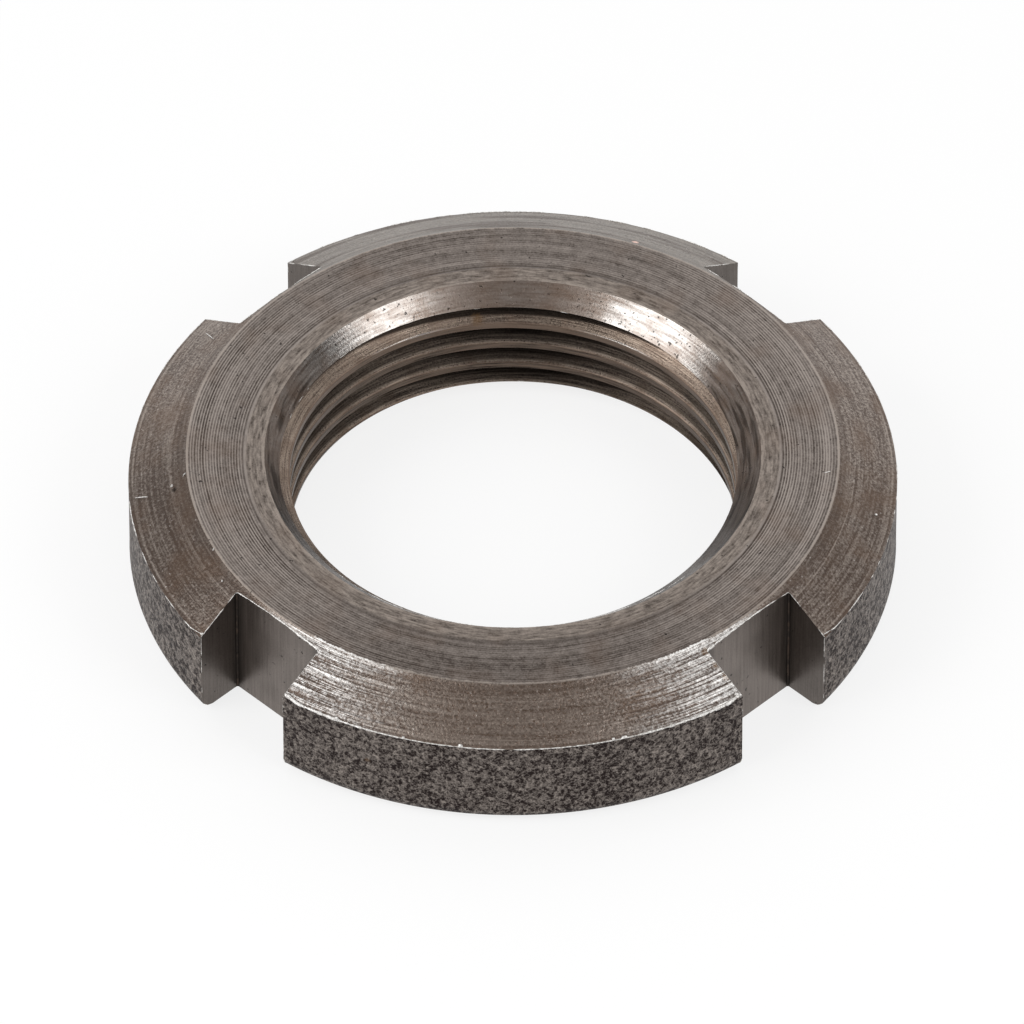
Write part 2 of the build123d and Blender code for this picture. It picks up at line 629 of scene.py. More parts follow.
def ring_nut_tree(turning, materials):
    """Geometry Nodes tree of the whole nut: the turned blank, less its slots and its thread."""
    tree, add, given = new_tree(
        "Ring Nut", "GeometryNodeTree",
        {
            "Int": ["Segments", "Slot Count"],
            "Float": [
                "Slot Width", "Slot Depth", "Corner Radius", "Pitch", "Major Radius", "Start Angle",
                "Corner", "Wear",
            ],
        },
    )
    band_tree = turned_band_tree()
    joined = add("GeometryNodeJoinGeometry")
    start = (LOWER_SINK_RADIUS, 0)
    for band in turned_bands(turning):
        values = {key.replace("_", " ").title(): value for key, value in band.items()}
        for label, (radius, level) in (("Start", start), ("End", band["end"])):
            values[label] = (radius, 0, level)
        made = add("GeometryNodeGroup", {**values, "Segments": given["Segments"]}, node_tree=band_tree)
        tree.links.new(made.outputs[0], joined.inputs[0])
        start = band["end"]
    weld_distance = 0.0005 * MM
    crease_angle = math.radians(17)
    blank = add("GeometryNodeMergeByDistance", {"Geometry": joined, "Distance": weld_distance})
    slotted = add(
        "GeometryNodeMeshBoolean", {"Mesh 1": blank, "Mesh 2": slot_cutters(add, given)},
        operation="DIFFERENCE", solver="EXACT",
    )
    tapped = add(
        "GeometryNodeMeshBoolean", {"Mesh 1": slotted, "Mesh 2": thread_cutter(add, given)},
        operation="DIFFERENCE", solver="EXACT",
    )
    smooth = add("GeometryNodeSetShadeSmooth", {"Geometry": tapped, "Shade Smooth": True})
    bend = add(GREATER_THAN, add("GeometryNodeInputMeshEdgeAngle"), crease_angle)
    creased = add(
        "GeometryNodeSetShadeSmooth", {"Geometry": smooth, "Selection": bend, "Shade Smooth": False},
        domain="EDGE",
    )
    shown = add("GeometryNodeRealizeInstances", creased)
    finish = add("GeometryNodeInputNamedAttribute", {"Name": "finish"}, data_type="FLOAT")
    for mark, material in materials.items():
        chosen = add(COMPARE, finish, mark, 0.5)
        shown = add(
            "GeometryNodeSetMaterial", {"Geometry": shown, "Selection": chosen, "Material": material},
        )
    add("NodeGroupOutput", shown)
    return tree


def lathe_coordinates_tree():
    """Shader node group: a point's place as a lathe sees it, in millimetres from the thread's axis."""
    tree, add, _ = new_tree(
        "Lathe Coordinates", "ShaderNodeTree", {},
        {"Vector": ["Spot", "Outward"], "Float": ["Radius", "Height"]},
    )
    spot = add(SCALE, {0: add("ShaderNodeTexCoord").outputs["Object"], "Scale": 1 / MM})
    flat = add(VECTOR_MULTIPLY, spot, (1, 1, 0))
    add(
        "NodeGroupOutput",
        {
            "Spot": spot, "Outward": add(NORMALIZE, flat),
            "Radius": add(VECTOR_MATH, flat, operation="LENGTH"),
            "Height": add("ShaderNodeSeparateXYZ", spot).outputs["Z"],
        },
    )
    return tree


def start_steel(name):
    """Begin a bare steel material. Returns it, add_node for its tree, and its lathe coordinates."""
    material = bpy.data.materials.new(name)
    add = start_nodes(material)
    group = bpy.data.node_groups.get("Lathe Coordinates") or lathe_coordinates_tree()
    return material, add, add("ShaderNodeGroup", node_tree=group).outputs


def finish_steel(material, colour, rough, height=None, depth=0.0, tangent=None, anisotropic=0.0):
    """Give a steel its colour, its roughness and a bump of that depth in metres. Its highlights spread
    along the tangent."""
    add = partial(add_node, material.node_tree)
    bump = None
    if height is not None:
        bump = add("ShaderNodeBump", {"Strength": 1.0, "Distance": depth, "Height": height})
    shader = add(
        "ShaderNodeBsdfPrincipled",
        {
            "Metallic": 1.0, "Anisotropic": anisotropic, "Base Color": colour, "Roughness": rough,
            "Normal": bump, "Tangent": tangent,
        },
    )
    add("ShaderNodeOutputMaterial", {"Surface": shader})
    return material


def ring_noise(lathe, across, width, turns, detail=2.0):
    """Noise in rings round the axis, width millimetres wide, that change a few times in a turn."""
    add = partial(add_node, across.id_data)
    turn = add(SCALE, {0: lathe["Outward"], "Scale": turns})
    spot = add(VECTOR_ADD, turn, add(COMBINE, 0, 0, add(DIVIDE, across, width)))
    return add(NOISE, {"Vector": spot, "Scale": 1.0, "Detail": detail})


def grain(lathe, size, detail=2.0, roughness=0.5, stretch=(1, 1, 1)):
    """Noise with spots of about size millimetres, which stretch makes shorter along each axis."""
    add = partial(add_node, lathe["Spot"].id_data)
    spot = add(VECTOR_MULTIPLY, lathe["Spot"], stretch)
    return add(NOISE, {"Vector": spot, "Scale": 1 / size, "Detail": detail, "Roughness": roughness})


def tone(mask, low, high, share=None):
    """Mix two colours, each one of the panel's or an earlier mix, by a mask or by that share of it."""
    if share is not None:
        mask = weighted([(mask, share)])
    ends = [end if isinstance(end, bpy.types.Node) else (*end, 1) for end in (low, high)]
    return add_node(mask.id_data, "ShaderNodeMix", {0: mask, 6: ends[0], 7: ends[1]}, data_type="RGBA")


def weighted(terms, offset=0.0):
    """The sum of values, each times its own weight, plus an offset."""
    total = offset
    for value, weight in terms:
        total = add_node(value.id_data, MULTIPLY_ADD, value, weight, total)
    return total


def at_ring(radius, middle, width):
    """A mask of one ring: 1 at its middle radius, 0 at half its width from there, in millimetres."""
    add = partial(add_node, radius.id_data)
    away = add(ABSOLUTE, add(SUBTRACT, radius, middle))
    return add(MAP_RANGE, away, 0.0, width / 2, 1.0, 0.0)


def near(lathe, angle, radius, height, size):
    """A ragged mask round one place, given in degrees and millimetres, that ends size away from it."""
    add = partial(add_node, lathe["Spot"].id_data)
    turn = math.radians(angle)
    away = add(DISTANCE, lathe["Spot"], (radius * math.cos(turn), radius * math.sin(turn), height))
    ragged = weighted([(grain(lathe, 0.15), size), (away, 1.0)], -size / 2)
    return add(MAP_RANGE, ragged, size * 0.4, size, 1.0, 0.0)


def faced_steel(colours, turning):
    """Mild steel faced on a lathe. The tool's feed leaves fine rings, painted light on their crests and
    dark between them as painted light and shade, and a plain, paler land that was left where the
    countersink was cut."""
    material, add, lathe = start_steel("faced_mild_steel")
    radius = lathe["Radius"]
    feed = turning.feed / MM
    land_edge = (UPPER_SINK_RADIUS + turning.land_width) / MM
    face_edge = FACE_RADIUS / MM
    half_way = HEIGHT / MM / 2

    # The lower face has no land and no lip, so there their masks read a radius between the two
    face_radius = add(
        MAP_RANGE, lathe["Height"], half_way, half_way + 1, (land_edge + face_edge) / 2, radius,
    )
    cut = add("ShaderNodeAttribute", attribute_name="cut").outputs["Fac"]
    # Painted light and shade of the feed grooves: crests painted light and valleys dark, the contrast
    # weaker towards the front and the back than at the sides
    crests = add(MAP_RANGE, cut, 0.0, 0.8, 1.4, -0.2)
    strength = add(MAP_RANGE, ring_noise(lathe, radius, 0.7, 1.3), 0.35, 0.65, 0.5, 1.3)
    rings = add(MULTIPLY, crests, strength)
    front = facing(lathe["Outward"], TORN_LOBE)
    # Painted shade: the face is painted darker towards the front
    front_shade = add(MAP_RANGE, front, 0.75, 0.95)
    towards = add(ABSOLUTE, front)
    rings = add(MULTIPLY, rings, add(MAP_RANGE, towards, 0.45, 0.97, 1.0, 0.25))
    each_ring = ring_noise(lathe, radius, feed, 0.7, detail=1.0)
    broad = ring_noise(lathe, radius, 0.9, 0.9)
    streaks = ring_noise(lathe, radius, 0.12, 18.0, detail=3.0)
    specks = grain(lathe, 0.12, roughness=0.7)
    mottle = grain(lathe, 0.5, detail=3.0)
    clouds = grain(lathe, 2.6, detail=3.0)
    pits = add(MAP_RANGE, grain(lathe, 0.28, detail=1.0), 0.75, 0.79)

    light = weighted(
        [
            (rings, 0.6), (each_ring, 0.8), (broad, 0.65), (streaks, 0.5), (specks, 0.9),
            (mottle, 0.55), (front_shade, -0.14),
        ],
        -1.33,
    )
    colour = tone(light, colours.faced_dark, colours.faced_light)
    land = add(MAP_RANGE, face_radius, land_edge - 0.05, land_edge + 0.08, 1.0, 0.0)
    worn_inner = weighted([(mottle, 0.3), (face_radius, 1.0)], -0.15)
    bright_edge = at_ring(worn_inner, UPPER_SINK_RADIUS / MM + 0.07, 0.3)
    rough_land = weighted([(specks, 1.0), (streaks, 2.0), (mottle, 0.5), (bright_edge, 0.35)], -1.2)
    land_colour = tone(rough_land, colours.faced_dark, colours.land)
    colour = tone(land, colour, land_colour)
    # Painted shadow: a dark ring just outside the land, below the land's step
    step_shadow_radius = weighted([(mottle, 0.25), (face_radius, 1.0)], -0.125)
    colour = tone(at_ring(step_shadow_radius, land_edge + 0.17, 0.36), colour, colours.faced_dark, 0.5)
    # Painted highlight: the rounded lip between the face and the bevel is painted pale
    ragged = weighted([(mottle, 0.25), (specks, 0.2), (face_radius, 1.0)], -0.22)
    lip = add(MAP_RANGE, ragged, face_edge - 0.02, face_edge + 0.05)
    lip_light = weighted([(specks, 3.2), (mottle, 1.0), (lip, 0.3)], -1.12)
    lip_colour = tone(lip_light, colours.faced_dark, colours.bevel_light)
    colour = tone(lip, colour, lip_colour, 0.9)
    # Painted glint: towards both ends of the torn lobe the lip is painted near white
    on_torn_lobe = add(MAP_RANGE, front, math.cos(math.radians(38)), math.cos(math.radians(35)))
    torn = torn_share(lathe["Outward"])
    torn = add(MULTIPLY, torn, on_torn_lobe)
    torn_lip_glint = add(MULTIPLY, lip, torn)
    torn_lip_glint = weighted([(torn_lip_glint, 1.2), (specks, 1.0)], -0.8)
    colour = tone(add(MAP_RANGE, torn_lip_glint, 0.0, 0.5, 0.0, 0.95), colour, colours.torn)
    film = add(MAP_RANGE, clouds, 0.5, 0.72, 0.0, 0.3)
    colour = tone(film, colour, colours.brown)
    colour = tone(pits, colour, colours.oil, 0.8)

    rough = weighted([(specks, 0.3), (broad, 0.2), (land, 0.04)], 0.14)
    height = weighted([(each_ring, 0.6), (streaks, 0.8), (specks, 0.8), (mottle, 0.8), (pits, -1.0)])
    return finish_steel(material, colour, rough, height, 0.014 * MM, lathe["Outward"], anisotropic=0.3)


def bevelled_steel(colours, turning):
    """Mild steel turned with a blunt tool. It crumbled more than it cut, so the bevel is dull, brown
    and grainy with a few thin rings, and its metal is ridged where one lobe's ends tore, and painted
    bright there as painted highlights."""
    material, add, lathe = start_steel("bevelled_mild_steel")
    radius = lathe["Radius"]
    rim = RIM_RADIUS / MM
    face_edge = FACE_RADIUS / MM
    specks = grain(lathe, 0.13, detail=2.0, roughness=0.75)
    mottle = grain(lathe, 0.24, detail=3.0, roughness=0.65)
    fine = ring_noise(lathe, radius, 0.12, 4.0)
    thin_line = add(MAP_RANGE, ring_noise(lathe, radius, 0.16, 1.2), 0.62, 0.7)
    dark_line = add(MAP_RANGE, ring_noise(lathe, radius, 0.3, 0.8), 0.36, 0.3)
    clouds = grain(lathe, 2.4, detail=3.0)
    bright_grain = add(MAP_RANGE, grain(lathe, 0.13, detail=1.0), 0.76, 0.8)
    pits = add(MAP_RANGE, grain(lathe, 0.19), 0.38, 0.3)
    torn = torn_share(lathe["Outward"])
    clean = add(MAP_RANGE, facing(lathe["Outward"], CLEAN_LOBE), 0.7, 0.8)
    # The bevel is darker and its grain evener at the front-left, and a little darker at the front-right
    left_darker = add(MAP_RANGE, facing(lathe["Outward"], 247), 0.82, 0.96)
    right_darker = add(MAP_RANGE, facing(lathe["Outward"], 20), 0.9, 0.98)
    calm = add(MAP_RANGE, facing(lathe["Outward"], TORN_LOBE), 0.85, 0.95)
    calm = add(MAXIMUM, calm, left_darker)
    calm = add(MAXIMUM, calm, right_darker)
    evened = add(SUBTRACT, specks, 0.5)
    evened = add(MULTIPLY, evened, calm)
    front = add(MAP_RANGE, facing(lathe["Outward"], TORN_LOBE), 0.94, 0.99, 0.0, 0.42)
    outer_line = at_ring(radius, rim - 0.24, 0.14)
    inner_line = at_ring(radius, face_edge + 0.93, 0.12)

    light = weighted(
        [
            (specks, 3.4), (evened, -1.3), (mottle, 1.0), (fine, 1.5), (thin_line, 0.35),
            (dark_line, -0.3), (outer_line, 0.45), (inner_line, 0.4), (pits, -0.8), (clean, 0.1),
            (left_darker, -0.18), (right_darker, -0.14), (front, 0.45),
        ],
        -2.54,
    )
    colour = tone(light, colours.bevel_dark, colours.bevel_light)
    # Painted shade: a dark ring along the bevel's outer edge, next to the rim
    colour = tone(at_ring(radius, rim - 0.12, 0.16), colour, colours.bevel_dark, 0.6)
    worn_shade = weighted([(mottle, 0.5), (radius, 1.0)], -0.25)
    inner_shade = at_ring(worn_shade, face_edge + 0.4, 0.7)
    colour = tone(inner_shade, colour, colours.bevel_dark, 0.5)
    film = add(MAP_RANGE, clouds, 0.46, 0.66, 0.05, 0.5)
    kept_film = weighted([(clean, -1.0)], 1.0)
    film = add(MULTIPLY, film, kept_film)
    film = add(MAXIMUM, film, front)
    colour = tone(film, colour, colours.brown)
    colour = tone(left_darker, colour, colours.oil, 0.24)
    colour = tone(clean, colour, colours.bevel_clean, 0.45)
    wide_line = add(MAP_RANGE, ring_noise(lathe, radius, 0.6, 2.5, detail=3.0), 0.5, 0.38)
    clean_lines = add(MULTIPLY, clean, wide_line)
    colour = tone(clean_lines, colour, colours.bevel_dark, 0.75)

    # The torn ends: real torn ridges, painted bright towards both ends of the lobe and most at its
    # right end, as
    #     painted highlights where the lamps glint on them. Their crests are painted white, with light
    #     and dark drag lines and grain between them. The first noise is the same as that of the ridges
    #     themselves.
    ridge_width = turning.torn_pitch / MM / math.hypot(1, BEVEL_FALL)
    from_rim = weighted([(radius, -1.0)], rim)
    ridges = ring_noise(lathe, from_rim, ridge_width, TORN_TURNS)
    off_crest = add(SUBTRACT, ridges, 0.5)
    off_crest = add(ABSOLUTE, off_crest)
    crest = add(MAP_RANGE, off_crest, 0.0, 0.08, 1.0, 0.0)
    drag = ring_noise(lathe, radius, 0.1, TORN_TURNS, detail=3.0)
    torn_glint_share = add(MAP_RANGE, weighted([(torn, 1.0), (mottle, 0.9)], -0.45), 0.1, 0.9, 0.0, 0.95)
    right_end_glint = add(MAP_RANGE, facing(lathe["Outward"], 351), 0.975, 1.0)
    bare = weighted(
        [
            (crest, 0.42), (drag, 1.8), (specks, 1.5), (mottle, 0.9), (right_end_glint, 0.14),
            (at_ring(radius, face_edge + 0.15, 0.5), 0.35),
        ],
        -2.02,
    )
    torn_glint_colour = tone(bare, colours.bevel_dark, colours.torn)
    colour = tone(torn_glint_share, colour, torn_glint_colour)
    colour = tone(bright_grain, colour, colours.torn, 0.45)
    pit = near(lathe, 232.4, 18.62, HEIGHT / MM - 0.5, 0.2)
    colour = tone(pit, colour, colours.oil, 0.8)
    copper = near(lathe, 113.2, 18.2, HEIGHT / MM - 0.26, 0.24)
    colour = tone(copper, colour, colours.copper)
    for angle, away in ((349.7, 18.3), (350.2, 19.1), (350.6, 19.8)):
        rust = near(lathe, angle, away, HEIGHT / MM - (away - face_edge) * BEVEL_FALL, 0.3)
        colour = tone(rust, colour, colours.rust, 0.35)

    rough = weighted([(specks, 0.35), (torn, 0.08)], 0.2)
    height = weighted([(specks, 1.2), (fine, 0.6), (mottle, 1.0), (thin_line, 0.3), (pits, -0.5)])
    return finish_steel(material, colour, rough, height, 0.022 * MM, lathe["Outward"], anisotropic=0.25)


def bar_skin(colours):
    """The skin of hot rolled bar, which the rim keeps. Dark mill scale lies in small blotches between a
    paler worm-like net, so the eye sees rough, speckled grey without any tool marks."""
    material, add, lathe = start_steel("hot_rolled_bar_skin")
    blotches = grain(lathe, 0.34, detail=3.0, roughness=0.6)
    net = grain(lathe, 0.27, detail=1.5)
    specks = grain(lathe, 0.15, roughness=0.7)
    clouds = grain(lathe, 2.5)
    ridge = add(ABSOLUTE, add(SUBTRACT, net, 0.5))
    line = add(MAP_RANGE, ridge, 0.0, 0.05, 1.0, 0.0)
    bare = add(MAP_RANGE, blotches, 0.44, 0.55)
    light = weighted([(bare, 0.3), (line, 0.42), (specks, 1.3), (clouds, 0.4)], -0.86)
    colour = tone(light, colours.scale_dark, colours.scale_light)
    rust = near(lathe, 293, RIM_RADIUS / MM, 3.3, 0.2)
    colour = tone(rust, colour, colours.rust, 0.3)
    rough = weighted([(bare, -0.1), (specks, 0.2)], 0.5)
    height = weighted([(bare, 0.6), (line, 0.4), (specks, 0.3)])
    return finish_steel(material, colour, rough, height, 0.03 * MM)


def milled_steel(colours, slots):
    """Mild steel cut by a slot mill. Its teeth leave fine upright lines on a smooth, neutral grey, the
    walls and the corners are painted darker as painted shade, and a thread of rust stays in the
    corners."""
    material, add, lathe = start_steel("slot_milled_steel")
    lines = grain(lathe, 0.11, detail=2.0, stretch=(1, 1, 0.03))
    specks = grain(lathe, 0.08)
    clouds = grain(lathe, 1.6)
    pits = add(MAP_RANGE, grain(lathe, 0.35, detail=1.0), 0.72, 0.77)
    light = weighted([(lines, 0.7), (specks, 0.6), (clouds, 0.4)], -0.35)
    colour = tone(light, colours.milled_dark, colours.milled_light)

    # The nearest slot, folded onto +X: how far out a point lies, and how far from the slot's middle
    place = add(VECTOR_MATH, lathe["Spot"], operation="ABSOLUTE")
    sides = add("ShaderNodeSeparateXYZ", place)
    out = add(MAXIMUM, sides.outputs["X"], sides.outputs["Y"])
    off = add(MINIMUM, sides.outputs["X"], sides.outputs["Y"])
    folded = add(COMBINE, out, off, 0)
    corner = ((RIM_RADIUS - slots.depth) / MM, slots.width / 2 / MM, 0)
    away = add(DISTANCE, folded, corner)
    # Painted shade: darker towards the corner between the floor and the walls, and on the walls
    wall_shade = add(MAP_RANGE, off, slots.width / 2 / MM - 0.1, slots.width / 2 / MM, 0.0, 0.3)
    dirt_and_shade = add(MAP_RANGE, away, 0.1, 0.7, 0.55, 0.0)
    dirt_and_shade = add(MAXIMUM, dirt_and_shade, wall_shade)
    corner_shade = add(MAP_RANGE, away, 0.12, 0.2, 0.93, 0.0)
    dirt_and_shade = add(MAXIMUM, dirt_and_shade, corner_shade)
    colour = tone(dirt_and_shade, colour, colours.oil)
    thread_of_rust = add(MAP_RANGE, away, 0.07, 0.11, 1.0, 0.0)
    dashes = add(MAP_RANGE, grain(lathe, 0.5, detail=3.0), 0.45, 0.6)
    rust = add(MULTIPLY, thread_of_rust, dashes)
    colour = tone(rust, colour, colours.brown, 0.2)
    colour = tone(pits, colour, colours.oil, 0.8)
    rough = weighted([(lines, 0.15), (specks, 0.1)], 0.22)
    height = weighted([(lines, 0.5), (specks, 0.4), (pits, -2.0)])
    across = add(VECTOR_MATH, lathe["Outward"], (0, 0, 1), operation="CROSS_PRODUCT")
    return finish_steel(material, colour, rough, height, 0.005 * MM, across, anisotropic=0.3)


def countersunk_steel(colours):
    """Mild steel countersunk with a sharp tool. It is the brightest cut on the nut: smooth and glossy,
    broken by small pits, torn specks and a thin brown film."""
    material, add, lathe = start_steel("countersunk_mild_steel")
    radius = lathe["Radius"]
    fine = ring_noise(lathe, radius, 0.1, 9.0)
    broad = ring_noise(lathe, radius, 0.25, 4.0)
    specks = grain(lathe, 0.12, detail=3.0, roughness=0.7)
    clouds = grain(lathe, 1.5, detail=3.0)
    pits = add(MAP_RANGE, grain(lathe, 0.2, detail=1.0), 0.69, 0.76)
    light = weighted([(fine, 1.5), (broad, 1.0), (specks, 1.2)], -1.33)
    colour = tone(light, colours.sink_dark, colours.sink_light)
    film = add(MAP_RANGE, clouds, 0.46, 0.66, 0.0, 0.45)
    colour = tone(film, colour, colours.brown)
    back = facing(lathe["Outward"], CLEAN_LOBE)
    matt = add(MAP_RANGE, back, 0.9, 0.97)
    colour = tone(matt, colour, colours.sink_film, 0.6)
    # Painted shade: away from the back the countersink is painted browner and darker, with dark rings,
    # and its front is painted dark
    side_shade = add(MAP_RANGE, back, 0.66, 0.45)
    colour = tone(side_shade, colour, colours.brown, 0.55)
    groove = add(MAP_RANGE, broad, 0.5, 0.38)
    groove = add(MULTIPLY, groove, side_shade)
    colour = tone(groove, colour, colours.oil, 0.6)
    front = add(MAP_RANGE, back, 0.0, -0.5)
    colour = tone(front, colour, colours.oil, 0.5)
    colour = tone(pits, colour, colours.oil, 0.7)
    rough = weighted([(specks, 0.3), (film, 0.12), (matt, 0.22), (side_shade, 0.15)], 0.04)
    height = weighted([(fine, 1.0), (specks, 0.8), (pits, -1.2)])
    return finish_steel(material, colour, rough, height, 0.014 * MM, lathe["Outward"], anisotropic=0.3)


def tapped_steel(colours):
    """Mild steel cut by a tap. The tap drags fine lines along the helix and wears the crests bright.
    Below the first turn, which the countersink lights, the flanks and roots are painted nearly black as
    painted shade, and the first turn is painted lighter and browner as painted light."""
    material, add, lathe = start_steel("tapped_mild_steel")
    radius = lathe["Radius"]
    bore = BORE_RADIUS / MM
    climb = lathe["Height"]
    across = add(ADD, radius, climb)
    drag = ring_noise(lathe, across, 0.09, 6.0)
    specks = grain(lathe, 0.1, detail=3.0, roughness=0.7)
    clouds = grain(lathe, 1.2, detail=3.0)
    light = weighted([(drag, 2.8), (specks, 2.4)], -2.04)
    colour = tone(light, colours.thread_dark, colours.thread_light)
    film = add(MAP_RANGE, clouds, 0.48, 0.66, 0.0, 0.35)
    colour = tone(film, colour, colours.brown)
    polish = add(MAP_RANGE, radius, bore + 0.03, bore + 0.12, 1.0, 0.0)
    colour = tone(polish, colour, colours.sink_film, 0.6)
    # Painted shade: the crest flats are painted darker in patches
    crest_shade = add(MAP_RANGE, radius, bore + 0.008, bore + 0.025, 1.0, 0.0)
    crest_shade_noise = weighted([(drag, 1.6), (specks, 0.6)], -0.5)
    crest_shade = add(MULTIPLY, crest_shade, crest_shade_noise)
    colour = tone(crest_shade, colour, colours.oil)

    # Painted glints: two arcs of the first crest's worn corner are painted near white, where the lamps
    # glint on it
    arcs = at_ring(facing(lathe["Outward"], CLEAN_LOBE), 0.87, 0.2)
    first_crest = add(MAP_RANGE, climb, 4.9, 5.1)
    corner_glint = add(MULTIPLY, arcs, first_crest)
    corner = at_ring(weighted([(drag, 0.1), (radius, 1.0)], -0.05), bore + 0.06, 0.1)
    corner_glint = add(MULTIPLY, corner_glint, corner)
    colour = tone(corner_glint, colour, colours.torn, 0.9)

    # Painted shade: below the first turn the flanks and roots are painted nearly black. Painted light:
    # the first turn is painted lighter and browner
    wavering = weighted([(drag, 0.12), (specks, 0.1), (radius, 1.0)], -0.11)
    below_mouth = add(MAP_RANGE, climb, 4.9, 5.3, 1.0, 0.0)
    flank_shade = add(MAP_RANGE, wavering, bore + 0.08, bore + 0.26, 0.0, 0.8)
    flank_shade = add(MULTIPLY, flank_shade, below_mouth)
    back = facing(lathe["Outward"], CLEAN_LOBE)
    root_edge = weighted([(add(MAP_RANGE, back, 0.75, 1.0, 0.24, 0.0), -1.0), (wavering, 1.0)])
    root_shade = add(MAP_RANGE, root_edge, bore + 0.4, bore + 0.5, 0.0, 0.9)
    first_turn_light = add(MAP_RANGE, climb, 4.9, 5.3, 0.0, 0.3)
    colour = tone(first_turn_light, colour, colours.sink_film)
    oil = add(MAXIMUM, flank_shade, root_shade)
    colour = tone(oil, colour, colours.oil)
    rust = near(lathe, 144, bore + 0.2, 5.8, 0.45)
    colour = tone(rust, colour, colours.rust, 0.45)
    rough = weighted([(specks, 0.3), (film, 0.15), (oil, 0.1), (polish, 0.12), (corner_glint, -0.26)], 0.14)
    height = weighted([(drag, 0.9), (specks, 0.9)])
    return finish_steel(material, colour, rough, height, 0.014 * MM, anisotropic=0.25)


class RINGNUT_OT_nut(bpy.types.Operator):
    """Build the nut itself: turned, slotted and tapped"""
    bl_idname = "ringnut.nut"
    bl_label = "Build Nut"

    def execute(self, context):
        scene = context.scene
        turning, thread, slots = scene.ringnut_turning, scene.ringnut_thread, scene.ringnut_slots
        colours = scene.ringnut_colours
        faced = faced_steel(colours, turning)
        tapped = tapped_steel(colours)
        milled = milled_steel(colours, slots)
        materials = {
            FACED: faced,
            BEVELLED: bevelled_steel(colours, turning),
            SKIN: bar_skin(colours),
            MILLED: milled,
            WALL: milled,
            SUNK: countersunk_steel(colours),
            TAPPED: tapped,
            CREST: tapped,
            UNDERSIDE: faced,
        }
        tree = ring_nut_tree(turning, materials)
        nut = mesh_from_tree("ring_nut_body", tree, panel_values(turning, thread, slots))
        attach(nut, "root")
        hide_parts("ring_nut")
        return {"FINISHED"}


def torn_steel(colours):
    """Freshly torn mild steel. Burrs and swarf have bright, bare metal on every side, so they glint."""
    name = "torn_mild_steel"
    if name in bpy.data.materials:
        return bpy.data.materials[name]
    material, add, lathe = start_steel(name)
    specks = grain(lathe, 0.1, detail=3.0)
    light = add(MAP_RANGE, specks, 0.35, 0.6)
    colour = tone(light, colours.sink_light, colours.torn)
    return finish_steel(material, colour, weighted([(specks, 0.4)], 0.4))


def sweep_bead(add, curve, radius):
    """A six-sided bead along a curve, with its own radius at each of the curve's points."""
    sides = 6
    ring = add("GeometryNodeCurvePrimitiveCircle", {"Resolution": sides, "Radius": 1.0})
    return add(
        "GeometryNodeCurveToMesh",
        {"Curve": curve, "Profile Curve": ring, "Scale": radius, "Fill Caps": True},
    )


def finish_bead_tree(add, geometry, material):
    """End a tree: its geometry is shaded smooth and made real, and gets its material."""
    smooth = add("GeometryNodeSetShadeSmooth", {"Geometry": geometry, "Shade Smooth": True})
    real = add("GeometryNodeRealizeInstances", smooth)
    add("NodeGroupOutput", add("GeometryNodeSetMaterial", {"Geometry": real, "Material": material}))


